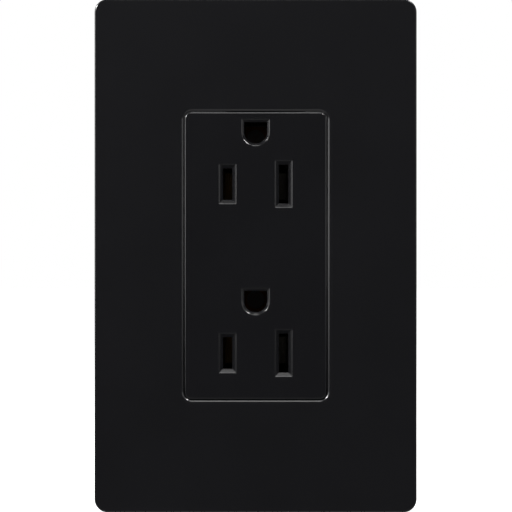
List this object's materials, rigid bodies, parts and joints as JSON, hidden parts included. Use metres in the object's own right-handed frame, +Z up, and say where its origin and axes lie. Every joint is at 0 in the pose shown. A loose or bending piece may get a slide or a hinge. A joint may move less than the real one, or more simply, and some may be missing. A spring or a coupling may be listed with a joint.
{
  "type": "duplex wall outlet",
  "caption": "Decorator-style duplex wall outlet, ground holes up, with clamp terminals, a wrap-around strap and a screwless snap-fit wall plate.",
  "frame": {"origin": "centre of the outlet on the finished wall's plane, midway between the two box screws and in the middle of the strap's four plaster ears", "axes": "+X to the right as a person faces the outlet, +Y into the wall, +Z up; the front faces -Y and the ground holes are above the blade slots"},
  "size_m": [0.0746, 0.0358, 0.119],
  "materials": {
    "black_plastic": "fine satin black moulding",
    "dark_plastic": "matt charcoal moulding",
    "zinc_steel": "zinc plate",
    "brass": "bright brass",
    "nickel_brass": "nickel plate",
    "bronze": "phosphor bronze",
    "green_steel": "green dye over zinc",
    "fibre": "vulcanised fibre"
  },
  "bodies": {
    "root": {"sub_plate": "dark_plastic", "face": "black_plastic", "rear_body": "dark_plastic", "assembly_screws": "zinc_steel", "strap": "zinc_steel", "screw_retainers": "fibre", "ground_contact_upper": "bronze", "ground_contact_lower": "bronze", "ground_rivets": "zinc_steel", "line_bus": "brass", "neutral_bus": "nickel_brass"},
    "cover": {"snap_cover": "black_plastic"},
    "line_upper_clamp": {"line_clamp_upper": "brass"},
    "line_upper_screw": {"line_screw_upper": "brass"},
    "line_lower_clamp": {"line_clamp_lower": "brass"},
    "line_lower_screw": {"line_screw_lower": "brass"},
    "neutral_upper_clamp": {"neutral_clamp_upper": "nickel_brass"},
    "neutral_upper_screw": {"neutral_screw_upper": "nickel_brass"},
    "neutral_lower_clamp": {"neutral_clamp_lower": "nickel_brass"},
    "neutral_lower_screw": {"neutral_screw_lower": "nickel_brass"},
    "ground_clamp": {"ground_clamp": "zinc_steel"},
    "ground_screw": {"ground_screw": "green_steel"},
    "box_screw_top": {"box_screw_top": "zinc_steel"},
    "plate_screw_top": {"plate_screw_top": "zinc_steel"},
    "box_screw_bottom": {"box_screw_bottom": "zinc_steel"},
    "plate_screw_bottom": {"plate_screw_bottom": "zinc_steel"}
  },
  "joints": [
    {"name": "cover_pull", "type": "slide", "parent": "root", "child": "cover", "axis": [0, -1, 0], "range_m": [0, 0.03]},
    {"name": "line_upper_clamp_slide", "type": "slide", "parent": "root", "child": "line_upper_clamp", "axis": [-1, 0, 0], "range_m": [0, 0.00238]},
    {"name": "line_upper_screw_turn", "type": "hinge", "parent": "line_upper_clamp", "child": "line_upper_screw", "pos_m": [0, 0.015, 0.0105], "axis": [-1, 0, 0], "range_deg": [0, 1080]},
    {"name": "line_lower_clamp_slide", "type": "slide", "parent": "root", "child": "line_lower_clamp", "axis": [-1, 0, 0], "range_m": [0, 0.00238]},
    {"name": "line_lower_screw_turn", "type": "hinge", "parent": "line_lower_clamp", "child": "line_lower_screw", "pos_m": [0, 0.015, -0.0105], "axis": [-1, 0, 0], "range_deg": [0, 1080]},
    {"name": "neutral_upper_clamp_slide", "type": "slide", "parent": "root", "child": "neutral_upper_clamp", "axis": [1, 0, 0], "range_m": [0, 0.00238]},
    {"name": "neutral_upper_screw_turn", "type": "hinge", "parent": "neutral_upper_clamp", "child": "neutral_upper_screw", "pos_m": [0, 0.015, 0.0105], "axis": [1, 0, 0], "range_deg": [0, 1080]},
    {"name": "neutral_lower_clamp_slide", "type": "slide", "parent": "root", "child": "neutral_lower_clamp", "axis": [1, 0, 0], "range_m": [0, 0.00238]},
    {"name": "neutral_lower_screw_turn", "type": "hinge", "parent": "neutral_lower_clamp", "child": "neutral_lower_screw", "pos_m": [0, 0.015, -0.0105], "axis": [1, 0, 0], "range_deg": [0, 1080]},
    {"name": "ground_clamp_slide", "type": "slide", "parent": "root", "child": "ground_clamp", "axis": [1, 0, 0], "range_m": [0, 0.00238]},
    {"name": "ground_screw_turn", "type": "hinge", "parent": "ground_clamp", "child": "ground_screw", "pos_m": [0, 0.015, 0.0275], "axis": [1, 0, 0], "range_deg": [0, 1080]},
    {"name": "box_screw_top_turn", "type": "hinge", "parent": "root", "child": "box_screw_top", "pos_m": [0, 0, 0.04165], "axis": [0, -1, 0], "continuous": true},
    {"name": "plate_screw_top_turn", "type": "hinge", "parent": "root", "child": "plate_screw_top", "pos_m": [0, 0, 0.0484], "axis": [0, -1, 0], "continuous": true},
    {"name": "box_screw_bottom_turn", "type": "hinge", "parent": "root", "child": "box_screw_bottom", "pos_m": [0, 0, -0.04165], "axis": [0, -1, 0], "continuous": true},
    {"name": "plate_screw_bottom_turn", "type": "hinge", "parent": "root", "child": "plate_screw_bottom", "pos_m": [0, 0, -0.0484], "axis": [0, -1, 0], "continuous": true}
  ],
  "couplings": [
    {"joint": "line_upper_screw_turn", "follows": "line_upper_clamp_slide", "rad_per_m": 7915.8},
    {"joint": "line_lower_screw_turn", "follows": "line_lower_clamp_slide", "rad_per_m": 7915.8},
    {"joint": "neutral_upper_screw_turn", "follows": "neutral_upper_clamp_slide", "rad_per_m": 7915.8},
    {"joint": "neutral_lower_screw_turn", "follows": "neutral_lower_clamp_slide", "rad_per_m": 7915.8},
    {"joint": "ground_screw_turn", "follows": "ground_clamp_slide", "rad_per_m": 7915.8}
  ]
}
